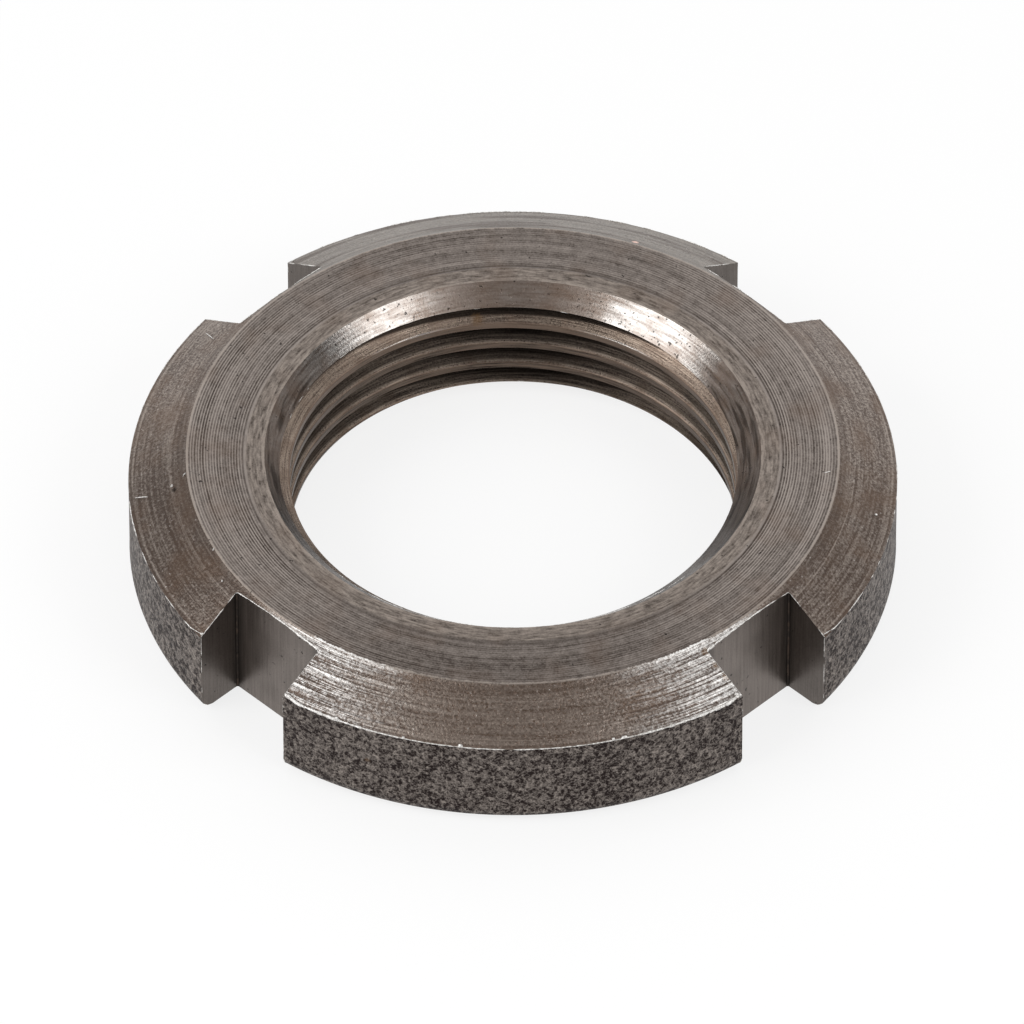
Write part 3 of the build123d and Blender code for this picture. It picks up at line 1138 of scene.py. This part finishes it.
def edge_burr_tree():
    """Geometry Nodes group: a ragged bead along those edges of the nut where two finishes meet."""
    tree, add, given = new_tree(
        "Edge Burr", "GeometryNodeTree",
        {
            "Geometry": ["Geometry"],
            "Float": ["Finishes", "Bare Share", "Radius", "Torn Radius", "Spacing", "Wander"],
        },
    )
    finish = add("GeometryNodeInputNamedAttribute", {"Name": "finish"}, data_type="FLOAT")
    both = add(MULTIPLY, finish, 2.0)
    here = add(COMPARE, both, given["Finishes"], 0.5)
    outward = add(NORMALIZE, add(VECTOR_MULTIPLY, add("GeometryNodeInputPosition"), (1, 1, 0)))

    # Burrs are patchy, and rarer away from the torn lobe
    patch_size, stray_size, lump_size = 0.9 * MM, 0.25 * MM, 0.35 * MM
    patches = add(NOISE, {"Scale": 1 / patch_size, "Detail": 2.0})
    rarer = add(MAP_RANGE, facing(outward, TORN_LOBE), 0.45, 0.8, 0.2, 0.0)
    bare_share = add(ADD, given["Bare Share"], rarer)
    kept = add(GREATER_THAN, patches, bare_share)
    chosen = add(MULTIPLY, here, kept)
    edges = add("GeometryNodeMeshToCurve", {"Mesh": given["Geometry"], "Selection": chosen})
    full_length = add("GeometryNodeSplineLength").outputs["Length"]
    shortest = add(MULTIPLY, given["Spacing"], 2.0)
    too_short = add(LESS_THAN, full_length, shortest)
    edges = add(
        "GeometryNodeDeleteGeometry", {"Geometry": edges, "Selection": too_short}, domain="CURVE",
    )
    points = add(
        "GeometryNodeResampleCurve", {"Curve": edges, "Length": given["Spacing"]}, mode="LENGTH",
    )

    # The bead strays from its edge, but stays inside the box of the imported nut
    strays = add(NOISE, {"Scale": 1 / stray_size, "Detail": 2.0})
    centred = add(VECTOR_SUBTRACT, strays.outputs["Color"], (0.5, 0.5, 0.5))
    offset = add(SCALE, {0: centred, "Scale": given["Wander"]})
    strayed = add(VECTOR_ADD, add("GeometryNodeInputPosition"), offset)
    thickest_swell = 1.3
    size = add(MAXIMUM, given["Radius"], given["Torn Radius"])
    margin = add(MULTIPLY, size, thickest_swell)
    margin = add(COMBINE, margin, margin, margin)
    highest = add(VECTOR_SUBTRACT, tuple(CAD_HIGH), margin)
    lowest = add(VECTOR_ADD, tuple(CAD_LOW), margin)
    place = add(VECTOR_MATH, strayed, highest, operation="MINIMUM")
    place = add(VECTOR_MATH, place, lowest, operation="MAXIMUM")
    climb_share = 0.7
    climb = add(MULTIPLY, add(DISTANCE, strayed, place), climb_share)
    place = add(VECTOR_ADD, place, add(COMBINE, 0, 0, climb))
    place = add(VECTOR_MATH, place, highest, operation="MINIMUM")
    moved = add("GeometryNodeSetPosition", {"Geometry": points, "Position": place})

    # It swells and thins along its length, is thicker on torn metal, and tapers to nothing at its ends
    common = add(MAP_RANGE, torn_share(outward), 0.0, 1.0, given["Radius"], given["Torn Radius"])
    lumps = add(NOISE, {"Scale": 1 / lump_size, "Detail": 3.0})
    swell = add(MAP_RANGE, lumps, 0.3, 0.7, 0.3, thickest_swell)
    along = add("GeometryNodeSplineParameter").outputs["Length"]
    rest = add(SUBTRACT, full_length, along)
    nearest = add(MINIMUM, along, rest)
    taper = add(
        MAP_RANGE,
        {"Value": nearest, "From Min": 0.0, "From Max": shortest, "To Min": 0.15, "To Max": 1.0},
    )
    radius = add(MULTIPLY, common, swell)
    radius = add(MULTIPLY, radius, taper)
    add("NodeGroupOutput", sweep_bead(add, moved, radius))
    return tree


def burrs_tree(material):
    """Geometry Nodes tree of the burrs: one bead for each pair of finishes that a burr stands on."""
    tree, add, given = new_tree(
        "Burrs", "GeometryNodeTree",
        {"Geometry": ["Geometry"], "Float": ["Radius", "Torn Radius", "Spacing", "Wander"]},
    )
    # Two finishes, the share of their edge that is bare, and how thick the bead is beside a common one
    beads = (
        (BEVELLED + SKIN, 0.3, 1.0, 1.0),
        (BEVELLED + MILLED, 0.27, 0.95, 0.7),
        (BEVELLED + WALL, 0.3, 0.85, 0.08),
        (FACED + MILLED, 0.2, 1.2, 1.0),
        (SKIN + WALL, 0.34, 0.7, 0.3),
        (SUNK + TAPPED, 0.42, 0.6, 0.2),
    )
    group = edge_burr_tree()
    joined = add("GeometryNodeJoinGeometry")
    for finishes, bare, thick, thick_torn in beads:
        made = add(
            "GeometryNodeGroup",
            {
                "Geometry": given["Geometry"], "Finishes": finishes, "Bare Share": bare,
                "Radius": add(MULTIPLY, given["Radius"], thick),
                "Torn Radius": add(MULTIPLY, given["Torn Radius"], thick_torn),
                "Spacing": given["Spacing"], "Wander": given["Wander"],
            },
            node_tree=group,
        )
        tree.links.new(made.outputs[0], joined.inputs[0])
    finish_bead_tree(add, joined, material)
    return tree


class RINGNUT_OT_burrs(bpy.types.Operator):
    """Build the bright burrs along the edges of the nut, which has to be built first"""
    bl_idname = "ringnut.burrs"
    bl_label = "Build Burrs"

    def execute(self, context):
        nut = bpy.data.objects.get("ring_nut_body")
        if nut is None:
            raise RuntimeError("the nut has to be built before its burrs")
        burrs = context.scene.ringnut_burrs
        material = torn_steel(context.scene.ringnut_colours)
        values = panel_values(burrs)
        piece = mesh_from_tree("edge_burrs", burrs_tree(material), values, base_mesh=nut.data.copy())
        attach(piece, "root")
        return {"FINISHED"}


def surface_point(angle, radius, lift):
    """A point above the face or the bevel, from degrees round the axis and millimetres out from it."""
    turn = math.radians(angle)
    level = HEIGHT - max(0.0, radius * MM - FACE_RADIUS) * BEVEL_FALL
    return Vector((radius * MM * math.cos(turn), radius * MM * math.sin(turn), level + lift))


def inside_box(point, reach):
    """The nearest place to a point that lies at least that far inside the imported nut's box."""
    return tuple(
        min(max(value, low + reach), high - reach)
        for value, low, high in zip(point, CAD_LOW, CAD_HIGH)
    )


def swarf_tree(material):
    """Geometry Nodes tree of one bit of swarf: a bent sliver, thickest near its middle."""
    tree, add, given = new_tree(
        "Swarf", "GeometryNodeTree", {"Vector": ["Start", "Middle", "End"], "Float": ["Radius"]},
    )
    steps = 9
    bow = add(
        "GeometryNodeCurveQuadraticBezier",
        {"Resolution": steps, "Start": given["Start"], "Middle": given["Middle"], "End": given["End"]},
    )
    factor = add("GeometryNodeSplineParameter").outputs["Factor"]
    rest = add(SUBTRACT, 1.0, factor)
    arch = add(MULTIPLY, factor, rest)
    swell = add(MAP_RANGE, arch, 0.0, 0.2, 0.25, 1.0)
    radius = add(MULTIPLY, swell, given["Radius"])
    sliver = sweep_bead(add, bow, radius)
    finish_bead_tree(add, sliver, material)
    return tree


class RINGNUT_OT_swarf(bpy.types.Operator):
    """Build the few slivers of swarf and lip burrs that stick to the face and the bevel"""
    bl_idname = "ringnut.swarf"
    bl_label = "Build Swarf"

    def execute(self, context):
        # Each sliver's name, its two ends in degrees and millimetres, and its thickness beside a burr's
        slivers = (
            ("sliver_on_face", (39.7, 17.04), (40.3, 17.40), 0.9),
            ("long_hair_on_left_bevel", (230.0, 20.69), (231.1, 20.01), 0.9),
            ("hair_on_left_bevel", (192.5, 20.02), (194.4, 19.1), 0.8),
            ("grain_on_left_bevel", (231.2, 18.63), (231.5, 18.76), 2.2),
            ("grain_on_right_bevel", (34.9, 20.03), (35.1, 20.15), 1.8),
            ("grain_on_front_bevel", (256.1, 18.40), (256.4, 18.48), 1.1),
            ("left_lip_burr", (229.8, 17.90), (230.2, 18.04), 1.0),
            ("front_lip_burr", (249.4, 17.82), (249.8, 17.94), 1.0),
            ("long_lip_burr", (277.9, 18.02), (284.7, 17.98), 1.1),
            ("rim_blob_1", (278.9, 20.92), (279.5, 20.95), 3.2),
            ("rim_blob_2", (287.7, 20.97), (288.3, 20.97), 3.2),
            ("rim_blob_3", (298.5, 20.97), (298.8, 20.97), 2.2),
            ("rim_blob_4", (306.9, 20.95), (307.6, 20.97), 3.0),
            ("rim_blob_5", (329.8, 20.95), (330.2, 20.97), 2.6),
            ("rim_blob_6", (331.2, 20.97), (332.2, 20.97), 2.4),
            ("rim_blob_7", (346.1, 20.95), (346.5, 20.97), 3.0),
            ("rim_blob_8", (350.2, 20.78), (350.8, 20.9), 4.0),
            ("left_corner_blob", (261.0, 20.9), (261.3, 20.8), 2.6),
        )
        burrs = context.scene.ringnut_burrs
        material = torn_steel(context.scene.ringnut_colours)
        tree = swarf_tree(material)
        clearance = 1.1
        for name, start, end, thick in slivers:
            radius = burrs.radius * thick
            reach = clearance * radius
            first = surface_point(*start, 0.0)
            last = surface_point(*end, 0.0)
            middle_angle = (start[0] + end[0]) / 2
            middle = surface_point(middle_angle, (start[1] + end[1]) / 2, radius)
            first, middle, last = (inside_box(point, reach) for point in (first, middle, last))
            piece = mesh_from_tree(
                name, tree, {"Start": first, "Middle": middle, "End": last, "Radius": radius},
            )
            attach(piece, "root")
        return {"FINISHED"}


def aim_at_origin(thing, direction):
    """Turn an object to look back along a direction that points from the nut to it."""
    thing.rotation_mode = "QUATERNION"
    thing.rotation_quaternion = (-direction).to_track_quat("-Z", "Y")


def white_floor(glow):
    """Matt white studio card. It glows a little to the camera and in steel, and keeps its shadow."""
    material = bpy.data.materials.new("white_studio_card")
    add = start_nodes(material)
    path = add("ShaderNodeLightPath")
    seen = add(MAXIMUM, path.outputs["Is Camera Ray"], path.outputs["Is Glossy Ray"])
    seen = add(MAXIMUM, seen, path.outputs["Is Transmission Ray"])
    plain = add("ShaderNodeBsdfDiffuse", {"Color": (0.8, 0.8, 0.8, 1)})
    dimmed = add("ShaderNodeBsdfDiffuse", {"Color": (1 - glow, 1 - glow, 1 - glow, 1)})
    shine = add("ShaderNodeEmission", {"Color": (1, 1, 1, 1), "Strength": glow})
    shown = add("ShaderNodeAddShader", dimmed, shine)
    surface = add("ShaderNodeMixShader", seen, plain, shown)
    add("ShaderNodeOutputMaterial", {"Surface": surface})
    return material


def studio_light(stage, behind):
    """World light: a plain level all round, and a brighter, wide patch behind and above the nut."""
    world = bpy.data.worlds.new("studio")
    add = start_nodes(world)
    patch_height = 0.5
    patch_edge, patch_core = 0.3, 0.85
    patch = (behind + Vector((0, 0, patch_height))).normalized()
    direction = add("ShaderNodeTexCoord").outputs["Generated"]
    nearness = add(DOT_PRODUCT, direction, tuple(patch))
    level = add(
        MAP_RANGE,
        {
            "Value": nearness, "From Min": patch_edge, "From Max": patch_core,
            "To Min": stage.world_level, "To Max": stage.patch_level,
        },
        interpolation_type="SMOOTHSTEP",
    )
    light = add("ShaderNodeBackground", {"Color": (1, 1, 1, 1), "Strength": level})
    add("ShaderNodeOutputWorld", {"Surface": light})
    return world


class RINGNUT_OT_stage(bpy.types.Operator):
    """Build the plain floor, the soft lamps, the surrounding light and the camera"""
    bl_idname = "ringnut.stage"
    bl_label = "Build Stage"

    def execute(self, context):
        scene = context.scene
        stage = scene.ringnut_stage
        right = Vector((math.cos(stage.azimuth), math.sin(stage.azimuth), 0))
        front = Vector((math.sin(stage.azimuth), -math.cos(stage.azimuth), 0))
        upward = Vector((0, 0, 1))
        outlook = front * math.cos(stage.elevation) + upward * math.sin(stage.elevation)
        camera_up = outlook.cross(right)

        camera = bpy.data.objects.new("camera", bpy.data.cameras.new("camera"))
        camera.data.lens = stage.lens
        camera.data.clip_start = 0.05
        camera.data.clip_end = 20
        camera.location = (
            upward * stage.aim_height + camera_up * stage.aim_rise - right * stage.aim_left
            + outlook * stage.distance
        )
        aim_at_origin(camera, outlook)
        scene.collection.objects.link(camera)
        scene.camera = camera

        # Each lamp lies where the countersink mirrors it to the camera
        lamps = (
            ("left_lamp", right * -0.760 + front * 0.279 + upward * 0.586, stage.left_lamp_size),
            ("right_lamp", right * 0.671 + front * 0.403 + upward * 0.622, stage.right_lamp_size),
        )
        for name, direction, size in lamps:
            data = bpy.data.lights.new(name, "AREA")
            data.shape = "SQUARE"
            data.size = size
            data.energy = stage.lamp_radiance * math.pi * size ** 2
            lamp = bpy.data.objects.new(name, data)
            lamp.location = direction.normalized() * stage.lamp_distance
            aim_at_origin(lamp, direction.normalized())
            scene.collection.objects.link(lamp)

        scene.world = studio_light(stage, -front)

        half = stage.floor_size / 2
        mesh = bpy.data.meshes.new("floor")
        mesh.from_pydata(
            [(-half, -half, 0), (half, -half, 0), (half, half, 0), (-half, half, 0)],
            [], [(0, 1, 2, 3)],
        )
        mesh.materials.append(white_floor(stage.floor_glow))
        floor = bpy.data.objects.new("floor", mesh)
        scene.collection.objects.link(floor)

        scene.view_settings.view_transform = "Standard"
        return {"FINISHED"}


class RINGNUT_PT_sidebar(bpy.types.Panel):
    """Sizes, colours and buttons of the ring nut"""
    bl_idname = "RINGNUT_PT_sidebar"
    bl_label = "Slotted Ring Nut"
    bl_space_type = "VIEW_3D"
    bl_region_type = "UI"
    bl_category = "Ring Nut"

    def draw(self, context):
        for title, name, operators in SECTIONS:
            box = self.layout.box()
            box.label(text=title)
            group = getattr(context.scene, name)
            for key in panel_keys(group):
                box.prop(group, key)
            for operator in operators:
                box.operator(operator)


SECTIONS = (
    ("Turning", "ringnut_turning", ()),
    ("Thread", "ringnut_thread", ()),
    ("Slots", "ringnut_slots", ()),
    ("Colours", "ringnut_colours", ("ringnut.nut",)),
    ("Burrs and Swarf", "ringnut_burrs", ("ringnut.burrs", "ringnut.swarf")),
    ("Stage", "ringnut_stage", ("ringnut.stage",)),
)

GROUPS = {
    "ringnut_turning": RingNutTurning,
    "ringnut_thread": RingNutThread,
    "ringnut_slots": RingNutSlots,
    "ringnut_colours": RingNutColours,
    "ringnut_burrs": RingNutBurrs,
    "ringnut_stage": RingNutStage,
}

OTHER_CLASSES = (
    RINGNUT_OT_nut,
    RINGNUT_OT_burrs,
    RINGNUT_OT_swarf,
    RINGNUT_OT_stage,
    RINGNUT_PT_sidebar,
)


def register():
    for name, group in GROUPS.items():
        bpy.utils.register_class(group)
        setattr(bpy.types.Scene, name, PointerProperty(type=group))
    for item in OTHER_CLASSES:
        bpy.utils.register_class(item)


def unregister():
    for item in reversed(OTHER_CLASSES):
        bpy.utils.unregister_class(item)
    for name, group in reversed(GROUPS.items()):
        delattr(bpy.types.Scene, name)
        bpy.utils.unregister_class(group)


def main():
    register()
    bpy.ops.ringnut.nut()
    bpy.ops.ringnut.burrs()
    bpy.ops.ringnut.swarf()
    bpy.ops.ringnut.stage()


if __name__ == "__main__":
    main()
